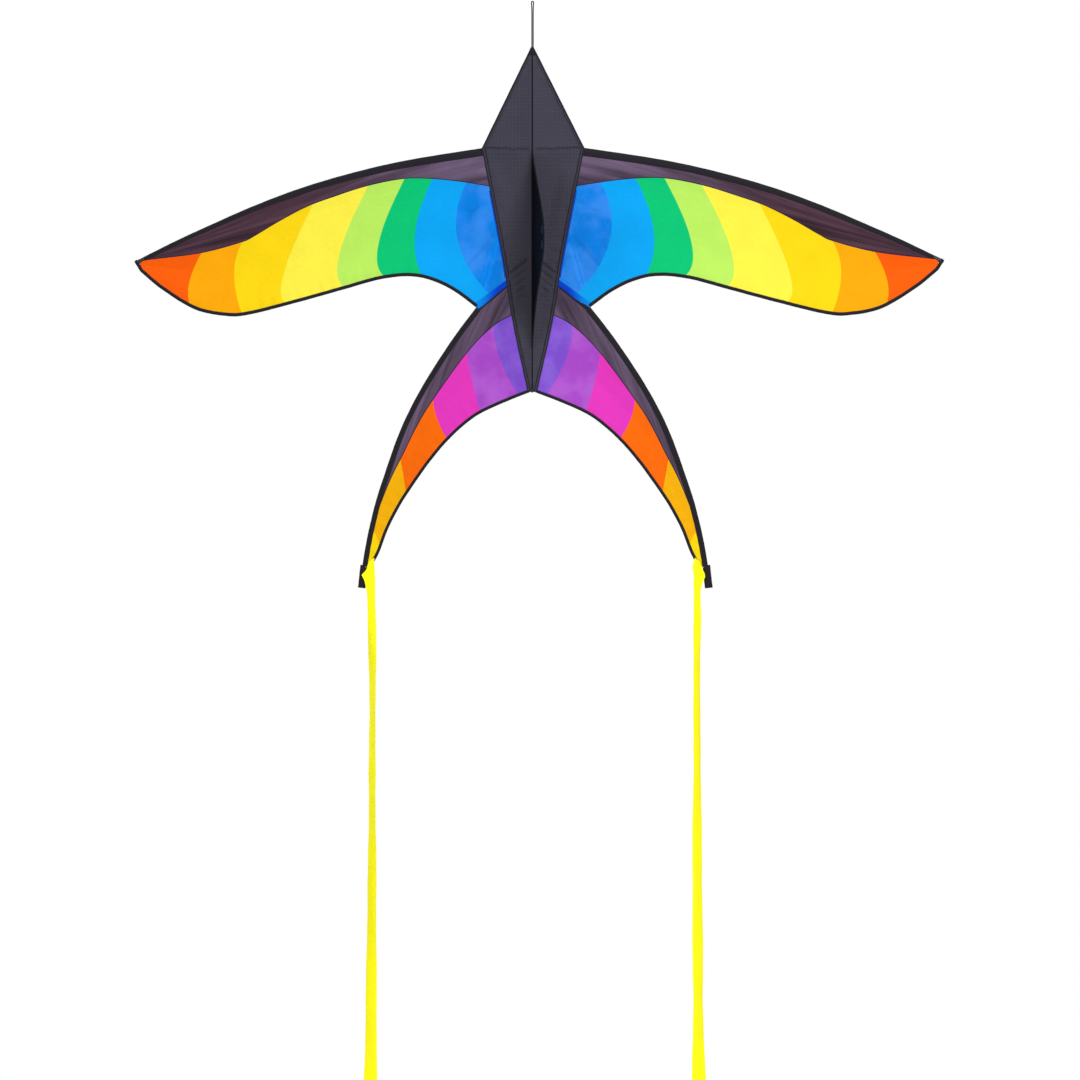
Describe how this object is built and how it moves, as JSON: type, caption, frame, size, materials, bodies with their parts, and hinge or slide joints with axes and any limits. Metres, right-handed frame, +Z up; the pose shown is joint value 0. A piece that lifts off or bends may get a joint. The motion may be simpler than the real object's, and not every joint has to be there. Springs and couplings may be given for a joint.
{
  "type": "delta kite",
  "caption": "Swallow-shaped delta kite hanging from its nose: black body, rainbow wings, forked tail, keel fin and two ribbon streamers.",
  "frame": {"origin": "top of the hang loop, where the kite hangs", "axes": "+Z up towards the hang point, +X across the span, +Y to the back; the keel points to -Y"},
  "size_m": [1.3074, 0.2415, 1.886],
  "materials": {
    "body_cloth": "black ripstop polyester",
    "tape": "black folded tape",
    "wing_cloth": "printed rainbow polyester",
    "tail_cloth": "printed violet to yellow polyester",
    "ribbon": "yellow streamer",
    "cord": "black braided cord",
    "rod": "pultruded carbon rod",
    "plastic": "moulded black nylon",
    "eyelet": "black-plated pressed eyelet"
  },
  "bodies": {
    "spine": {"spine_rod": "rod", "spine_cap_top": "plastic", "spine_cap_bottom": "plastic", "spine_pocket_top": "tape", "spine_pocket_middle": "tape", "spine_pocket_bottom": "tape", "wing_hub_collar_top": "plastic", "wing_hub_collar_bottom": "plastic", "tail_hub_collar_top": "plastic", "tail_hub_collar_bottom": "plastic", "nose_patch": "tape", "hang_loop": "cord"},
    "left_side": {"left_body_panel": "body_cloth", "left_nose_binding": "tape", "left_body_binding": "tape", "left_wing_sail": "wing_cloth", "left_wing_pocket": "tape", "left_wing_tip_cap": "tape", "left_wing_hem": "tape", "left_wing_rod": "rod", "left_wing_arm": "plastic", "left_tail_sail": "tail_cloth", "left_tail_pocket": "tape", "left_seam_pocket": "tape", "left_tail_hem": "tape", "left_tail_end_cap": "tape", "left_tail_rod": "rod", "left_tail_arm": "plastic"},
    "right_side": {"right_body_panel": "body_cloth", "right_nose_binding": "tape", "right_body_binding": "tape", "right_wing_sail": "wing_cloth", "right_wing_pocket": "tape", "right_wing_tip_cap": "tape", "right_wing_hem": "tape", "right_wing_rod": "rod", "right_wing_arm": "plastic", "right_tail_sail": "tail_cloth", "right_tail_pocket": "tape", "right_seam_pocket": "tape", "right_tail_hem": "tape", "right_tail_end_cap": "tape", "right_tail_rod": "rod", "right_tail_arm": "plastic"},
    "keel": {"keel_fin": "body_cloth", "keel_hem": "tape", "keel_patch": "tape", "tow_eyelet_1": "eyelet", "tow_eyelet_2": "eyelet"},
    "left_ribbon": {"left_ribbon": "ribbon"},
    "right_ribbon": {"right_ribbon": "ribbon"}
  },
  "joints": [
    {"name": "left_side_fold", "type": "hinge", "parent": "spine", "child": "left_side", "pos_m": [0, 0, -0.24], "axis": [0, 0, -1], "range_deg": [-10, 65]},
    {"name": "right_side_fold", "type": "hinge", "parent": "spine", "child": "right_side", "pos_m": [0, 0, -0.24], "axis": [0, 0, 1], "range_deg": [-10, 65]},
    {"name": "keel_swing", "type": "hinge", "parent": "spine", "child": "keel", "pos_m": [0, -0.0062, -0.38], "axis": [0, 0, 1], "range_deg": [-84, 56]},
    {"name": "left_ribbon_swing", "type": "hinge", "parent": "left_side", "child": "left_ribbon", "pos_m": [-0.26295, 0.03824, -0.89], "axis": [0.1736, 0.9848, 0], "range_deg": [-12, 45]},
    {"name": "right_ribbon_swing", "type": "hinge", "parent": "right_side", "child": "right_ribbon", "pos_m": [0.26295, 0.03824, -0.89], "axis": [0.1736, -0.9848, 0], "range_deg": [-12, 45]}
  ]
}
